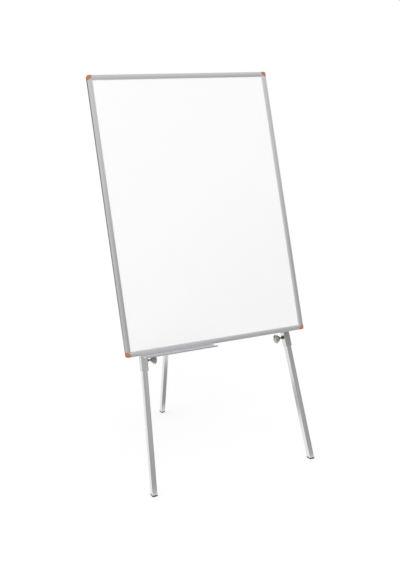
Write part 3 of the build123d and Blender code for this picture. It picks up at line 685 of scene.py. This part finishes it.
# %% Assign finishes
by_ending = [
    ("writing_sheet", writing_white),
    ("board_core", core_fibre),
    ("back_sheet", back_zinc),
    ("top_rail", flat_rail_metal),
    ("bottom_rail", flat_rail_metal),
    ("left_rail", upright_rail_metal),
    ("right_rail", upright_rail_metal),
    ("pen_tray", tray_metal),
    ("outer_tube", tube_metal),
    ("inner_leg", leg_metal),
    ("clamp_sleeve", sleeve_metal),
    ("cross_bar", bar_metal),
    ("tube_plug", plug_black),
    ("leg_bush", plug_black),
    ("saddle", plug_black),
    ("bar_connector", plug_black),
    ("foot", foot_rubber),
    ("pressure_pad", pad_nylon),
    ("hinge_washers", pad_nylon),
    ("clamp_knob", knob_metal),
    ("clamp_screw", screw_steel),
    ("clamp_collar", screw_steel),
]


def finish_for(name):
    """The material of a carried-over piece, by how its name ends, and by its leg where that matters."""
    if name.startswith("cap_"):
        return cap_orange
    for ending, finish in by_ending:
        if name.endswith(ending):
            return finish[name.split("_")[0]] if isinstance(finish, dict) else finish
    return zinc_metal


for name, node in nodes.items():
    for material_slot in node.material_slots:
        material_slot.material = finish_for(name)
print(len(nodes), "carried-over pieces dressed")

# %% [markdown]
# ## Modelled pieces: where they sit
#
# The knobs, clamp screws, feet and corner caps carry shapes that hands and eyes notice, so they are
# modelled again as meshes on the same places. Each clamp gets its own set of axes: X along the screw and
# away from the leg, Y up the leg. A screw's box is centred on its axis, so its middle lies a known way
# along X from the middle of the leg, which fixes that line without any fitting. The same axes slid down
# to the floor place the feet. The board's corners are counted from the foot of its middle line, a few
# millimetres in front of the writing sheet. The meshes are drawn in millimetres round their own axes and
# moved into place at the end.

# %% Places
SCREW_MIDDLE = 26.125
SHEET_DEPTH = 2.97
BOARD_WIDTH = 700.0
BOARD_HEIGHT = 1000.0

rear_leg_front = Vector((0, -cos(REAR_ANGLE), -sin(REAR_ANGLE)))
leg_front = {"left": board_out, "right": board_out, "rear": rear_leg_front}
inward = {"left": 1, "right": -1, "rear": 1}


def axes_at(origin, x_axis, y_axis):
    """The matrix of a right-handed set of axes, for points in millimetres."""
    turned = Matrix((x_axis, y_axis, x_axis.cross(y_axis))).transposed().to_4x4()
    return Matrix.Translation(origin) @ turned @ Matrix.Scale(MM, 4)


def middle_of(node):
    """The middle of a carried-over piece's box."""
    low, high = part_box(node)
    return (Vector(low) + Vector(high)) / 2


clamp_axes = {}
ground_axes = {}
for side, up in leg_up.items():
    away = up.cross(leg_front[side]) * inward[side]
    centre = middle_of(side + "_clamp_screw") - away * SCREW_MIDDLE * MM
    clamp_axes[side] = axes_at(centre, away, up)
    ground_axes[side] = axes_at(centre - up * (centre.z / up.z), away, up)
board_foot = middle_of("writing_sheet") - board_up * BOARD_HEIGHT / 2 * MM + board_out * SHEET_DEPTH * MM
print("feet stand at", {side: brief(axes.translation) for side, axes in ground_axes.items()})

# %% [markdown]
# ## Modelled pieces: shared steps
#
# Four steps come back in the pieces below: bevelling edges, cutting a closed shape by a plane, joining
# two shapes, and showing the result in the stead of its solid. Edges sharper than the given angle stay
# crisp, and the rest is shaded smooth, so that a round looks round with few faces.

# %% Shape helpers
MERGE_DISTANCE = 0.002
SHARP_ANGLE = radians(35)


def bevel_edges(shape, edges, offset, segments):
    """Round edges off by an offset, in a number of steps."""
    bmesh.ops.bevel(shape, geom=edges, offset=offset, segments=segments, profile=0.5, affect="EDGES",
                    material=-1)


def cut(shape, point, normal, keep_above):
    """Cut a shape by a plane, drop one side and close the cut."""
    everything = shape.verts[:] + shape.edges[:] + shape.faces[:]
    bmesh.ops.bisect_plane(shape, geom=everything, plane_co=point, plane_no=normal,
                           clear_inner=keep_above, clear_outer=not keep_above)
    plane = Vector(normal)
    on_cut = [edge for edge in shape.edges if edge.is_boundary
              and all(abs((v.co - Vector(point)).dot(plane)) < MERGE_DISTANCE / 2 for v in edge.verts)]
    bmesh.ops.holes_fill(shape, edges=on_cut)


def take_in(shape, other):
    """Add another shape's faces to a shape, and let the other one go."""
    mesh = bpy.data.meshes.new("other")
    other.to_mesh(mesh)
    other.free()
    shape.from_mesh(mesh)
    bpy.data.meshes.remove(mesh)


def show_piece(name, shape, place, finish, body):
    """Close up a shape, move it into place and show it in the stead of the node of the same name."""
    bmesh.ops.remove_doubles(shape, verts=shape.verts, dist=MERGE_DISTANCE)
    bmesh.ops.recalc_face_normals(shape, faces=shape.faces)
    shape.transform(place)
    mesh = bpy.data.meshes.new(name)
    shape.to_mesh(mesh)
    shape.free()
    mesh.shade_smooth()
    mesh.set_sharp_from_angle(angle=SHARP_ANGLE)
    mesh.materials.append(finish)
    obj = bpy.data.objects.new(name + "_shape", mesh)
    scene.collection.objects.link(obj)
    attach(obj, body)
    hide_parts(name)
    print(name, "with", len(mesh.polygons), "faces")


# %% [markdown]
# ## Clamp knobs
#
# A clamp knob is turned: a small tier, a ring groove, then a wider bell with a domed face, pressed onto
# the screw. A cylinder with cuts would need many steps, while turned things are simply spun, so its half
# outline goes once round the screw's axis. The outline gives distance from the leg and radius, in
# millimetres. Its short slopes break every rim, because no turned edge is ever quite sharp. The grip
# flutes are then pressed into the widest part by pulling those points towards the axis in even waves.

# %% Knobs
KNOB_BORE = 3.02
KNOB_STEPS = 144
BORE_WALL = ((41.0, 0.0), (41.0, KNOB_BORE), (27.4, KNOB_BORE), (27.0, KNOB_BORE + 0.4))
TIER = ((27.0, 7.2), (27.5, 8.1), (29.0, 9.0), (31.0, 10.4), (32.6, 11.9), (33.3, 12.7))
RING_GROOVE = ((33.5, 12.4), (33.6, 11.5), (34.9, 11.5), (35.1, 13.2))
BELL = ((35.3, 14.0), (36.5, 14.6), (38.4, 15.6), (40.1, 16.7), (40.7, 17.0), (42.1, 17.0))
DOME = ((42.9, 16.7), (44.4, 15.2), (46.2, 13.1), (47.5, 11.1), (48.1, 9.6), (48.35, 8.4))
DISHED_FACE = ((47.9, 7.4), (47.9, 4.0), (48.2, 3.2), (48.4, 0.0))
KNOB_OUTLINE = BORE_WALL + TIER + RING_GROOVE + BELL + DOME + DISHED_FACE
FLUTES = 24
FLUTE_DEPTH = 0.55
FLUTE_FROM_RADIUS = 14.2
FLUTE_RUN_IN = 1.6


def press_flutes(shape):
    """Pull the widest part in by a wave with one trough per flute."""
    for point in shape.verts:
        radius = Vector((point.co.y, point.co.z)).length
        if radius > FLUTE_FROM_RADIUS:
            wave = 0.5 - 0.5 * cos(FLUTES * atan2(point.co.z, point.co.y))
            run_in = min(1.0, (radius - FLUTE_FROM_RADIUS) / FLUTE_RUN_IN)
            factor = (radius - FLUTE_DEPTH * wave * run_in) / radius
            point.co.y *= factor
            point.co.z *= factor


for side in leg_up:
    shape = bmesh.new()
    outline = [shape.verts.new((x, radius, 0)) for x, radius in KNOB_OUTLINE]
    edges = [shape.edges.new(pair) for pair in zip(outline, outline[1:])]
    bmesh.ops.spin(shape, geom=outline + edges, axis=(1, 0, 0), cent=(0, 0, 0), dvec=(0, 0, 0),
                   angle=2 * pi, steps=KNOB_STEPS, use_merge=True, use_duplicate=False)
    press_flutes(shape)
    show_piece(side + "_clamp_knob", shape, clamp_axes[side], knob_metal, side + "_knob")

# %% [markdown]
# ## Clamp screws
#
# Between the collar and the knob the screw's thread shows. A bump pattern would leave its silhouette
# smooth, so one pitch of the thread's outline is spun round the axis and pushed forward by one pitch each
# turn. Neighbouring turns then meet and merge into one helical surface. Both ends are cut square and
# closed, and the run that was added for that falls away.

# %% Screws
SCREW_ENDS = (11.25, 41.0)
PITCH = 1.0
TURN_STEPS = 20
THREAD = ((0.0, 3.0), (0.14, 3.0), (0.44, 2.62), (0.6, 2.62), (0.86, 3.0), (1.0, 3.0))
RUN_OUT = 1.5
turns = int((SCREW_ENDS[1] - SCREW_ENDS[0] + 2 * RUN_OUT) / PITCH)

for side in leg_up:
    shape = bmesh.new()
    start = SCREW_ENDS[0] - RUN_OUT
    outline = [shape.verts.new((start + x * PITCH, radius, 0)) for x, radius in THREAD]
    edges = [shape.edges.new(pair) for pair in zip(outline, outline[1:])]
    bmesh.ops.spin(shape, geom=outline + edges, axis=(1, 0, 0), cent=(0, 0, 0),
                   dvec=(PITCH / TURN_STEPS, 0, 0), angle=2 * pi * turns, steps=turns * TURN_STEPS,
                   use_merge=False, use_duplicate=False)
    bmesh.ops.remove_doubles(shape, verts=shape.verts, dist=MERGE_DISTANCE)
    cut(shape, (SCREW_ENDS[0], 0, 0), (1, 0, 0), True)
    cut(shape, (SCREW_ENDS[1], 0, 0), (1, 0, 0), False)
    show_piece(side + "_clamp_screw", shape, clamp_axes[side], screw_steel, side + "_knob")
print("each thread makes", turns, "turns")

# %% [markdown]
# ## Feet
#
# Each foot is a rubber sole under the leg's level end with a plug up its bore. The leg stands askew, so a
# block with slanted sides is needed, and its corners could be worked out one by one. It is easier to
# start with a block square to the leg and to cut it by two level planes, the floor and the leg's end,
# which gives the right slant for any angle. A small bevel rounds its rim, and the sole is hollowed a
# little so that it stands on its rim and doesn't rock.

# %% Feet
SOLE_WIDTH = 19.1
SOLE_DEPTH = 25.6
SOLE_HEIGHT = 5.0
SOLE_CORNER = 1.8
SOLE_BEVEL = 0.45
RIM_WIDTH = 2.2
HOLLOW_SLOPE = 0.5
HOLLOW_DEPTH = 0.8
PLUG_WIDTH = 16.0
PLUG_DEPTH = 22.5
PLUG_ENDS = (8.0, 30.0)
PLUG_CORNER = 0.8
LEVEL = 0.99


def upright_block(width, low, high, depth, corner):
    """A block along Y with rounded long edges."""
    shape = bmesh.new()
    bmesh.ops.create_cube(shape, size=1.0)
    bmesh.ops.scale(shape, vec=(width, high - low, depth), verts=shape.verts)
    bmesh.ops.translate(shape, vec=(0, (low + high) / 2, 0), verts=shape.verts)
    long_edges = [edge for edge in shape.edges if abs(edge.verts[0].co.y - edge.verts[1].co.y) > 1]
    bevel_edges(shape, long_edges, corner, 4)
    return shape


for side in leg_up:
    shape = upright_block(SOLE_WIDTH, -SOLE_DEPTH, SOLE_DEPTH, SOLE_DEPTH, SOLE_CORNER)
    shape.transform(ground_axes[side])
    cut(shape, (0, 0, 0), (0, 0, 1), True)
    cut(shape, (0, 0, SOLE_HEIGHT * MM), (0, 0, 1), False)
    rims = [edge for edge in shape.edges if any(abs(face.normal.z) > LEVEL for face in edge.link_faces)]
    bevel_edges(shape, rims, SOLE_BEVEL * MM, 3)
    sole = [face for face in shape.faces if face.normal.z < -LEVEL]
    bmesh.ops.inset_region(shape, faces=sole, thickness=RIM_WIDTH * MM, depth=0.0)
    bmesh.ops.inset_region(shape, faces=sole, thickness=HOLLOW_SLOPE * MM, depth=-HOLLOW_DEPTH * MM)
    shape.transform(ground_axes[side].inverted())
    take_in(shape, upright_block(PLUG_WIDTH, *PLUG_ENDS, PLUG_DEPTH, PLUG_CORNER))
    show_piece(side + "_foot", shape, ground_axes[side], foot_rubber, side + "_leg")

# %% [markdown]
# ## Corner caps
#
# A cap is a moulded quarter-round that closes the mitre. Its outline could be drawn point by point. Here
# it starts as a disc, two cuts leave a quarter of it, its outer corner is bevelled into a large round,
# and the face is extruded. That is done twice: once for the block between the rails' ends, and once for a
# thin lip that laps over their faces and hides the joint. The lip's front is then drawn in and raised in
# smaller and smaller steps, which gives the shallow crown of a moulding. Two tongues run into the rails'
# chambers.

# %% Caps
CAP_REACH = 17.0
CAP_CORNER = 6.5
CAP_BACK = -15.4
CAP_SHOULDER = -0.3
CAP_EDGE = 0.3
LIP_REACH = 18.3
LIP_BACK = -1.2
LIP_FRONT = 0.05
LIP_EDGE = 0.7
CROWN_STEPS = ((0.9, 0.22), (0.75, 0.13), (0.55, 0.06), (0.3, 0.02))
TONGUE = ((9.0, 40.0), (4.7, 12.5), (-13.5, -3.17))
TONGUE_BEVEL = 1.0
SWAP_X_AND_Y = Matrix(((0, 1, 0, 0), (1, 0, 0, 0), (0, 0, 1, 0), (0, 0, 0, 1)))


def moved_points(pulled):
    """The points that an extrusion made."""
    return [item for item in pulled["geom"] if isinstance(item, bmesh.types.BMVert)]


def tongue_block():
    """One tongue as a block between its corners, along X."""
    shape = bmesh.new()
    bmesh.ops.create_cube(shape, size=1.0)
    bmesh.ops.scale(shape, vec=[high - low for low, high in TONGUE], verts=shape.verts)
    bmesh.ops.translate(shape, vec=[(high + low) / 2 for low, high in TONGUE], verts=shape.verts)
    end = [edge for edge in shape.edges if all(abs(v.co.x - TONGUE[0][1]) < 0.1 for v in edge.verts)]
    bevel_edges(shape, end, TONGUE_BEVEL, 2)
    return shape


def quarter_round(reach, back, front, edge_round):
    """A slab in the shape of a quarter disc with a rounded outer corner, bevelled round its front."""
    shape = bmesh.new()
    bmesh.ops.create_circle(shape, cap_ends=True, segments=96, radius=reach)
    for normal in ((1, 0, 0), (0, 1, 0)):
        everything = shape.verts[:] + shape.edges[:] + shape.faces[:]
        bmesh.ops.bisect_plane(shape, geom=everything, plane_co=(0, 0, 0), plane_no=normal,
                               clear_inner=True)
    corner = min(shape.verts, key=lambda point: point.co.length)
    bmesh.ops.bevel(shape, geom=[corner], offset=CAP_CORNER, segments=12, profile=0.5, affect="VERTICES",
                    material=-1)
    bmesh.ops.translate(shape, vec=(0, 0, back), verts=shape.verts)
    pulled = bmesh.ops.extrude_face_region(shape, geom=shape.faces[:])
    bmesh.ops.translate(shape, vec=(0, 0, front - back), verts=moved_points(pulled))
    bmesh.ops.recalc_face_normals(shape, faces=shape.faces)
    rim = [edge for edge in shape.edges if all(abs(v.co.z - front) < 0.01 for v in edge.verts)]
    bevel_edges(shape, rim, edge_round, 4)
    return shape


def crown(shape):
    """Raise the largest front face in steps, each smaller and lower than the last."""
    face = max((face for face in shape.faces if face.normal.z > LEVEL), key=lambda face: face.calc_area())
    centre = face.calc_center_median()
    for share, rise in CROWN_STEPS:
        pulled = bmesh.ops.extrude_face_region(shape, geom=[face])
        points = moved_points(pulled)
        bmesh.ops.scale(shape, vec=(share, share, 1), space=Matrix.Translation(-centre), verts=points)
        bmesh.ops.translate(shape, vec=(0, 0, rise), verts=points)
        face = next(item for item in pulled["geom"] if isinstance(item, bmesh.types.BMFace))


def cap_shape():
    """A cap for the corner at the origin, with its legs along +X and +Y and its front towards +Z."""
    shape = quarter_round(LIP_REACH, LIP_BACK, LIP_FRONT, LIP_EDGE)
    crown(shape)
    take_in(shape, quarter_round(CAP_REACH, CAP_BACK, CAP_SHOULDER, CAP_EDGE))
    take_in(shape, tongue_block())
    tongue = tongue_block()
    tongue.transform(SWAP_X_AND_Y)
    take_in(shape, tongue)
    return shape


corners = {
    "cap_bottom_left": (-BOARD_WIDTH / 2, 0.0, 0),
    "cap_bottom_right": (BOARD_WIDTH / 2, 0.0, 90),
    "cap_top_right": (BOARD_WIDTH / 2, BOARD_HEIGHT, 180),
    "cap_top_left": (-BOARD_WIDTH / 2, BOARD_HEIGHT, 270),
}
for name, (across, raised, turn) in corners.items():
    origin = board_foot + (right * across + board_up * raised) * MM
    along = right * cos(radians(turn)) + board_up * sin(radians(turn))
    show_piece(name, cap_shape(), axes_at(origin, along, board_out.cross(along)), cap_orange, "board")
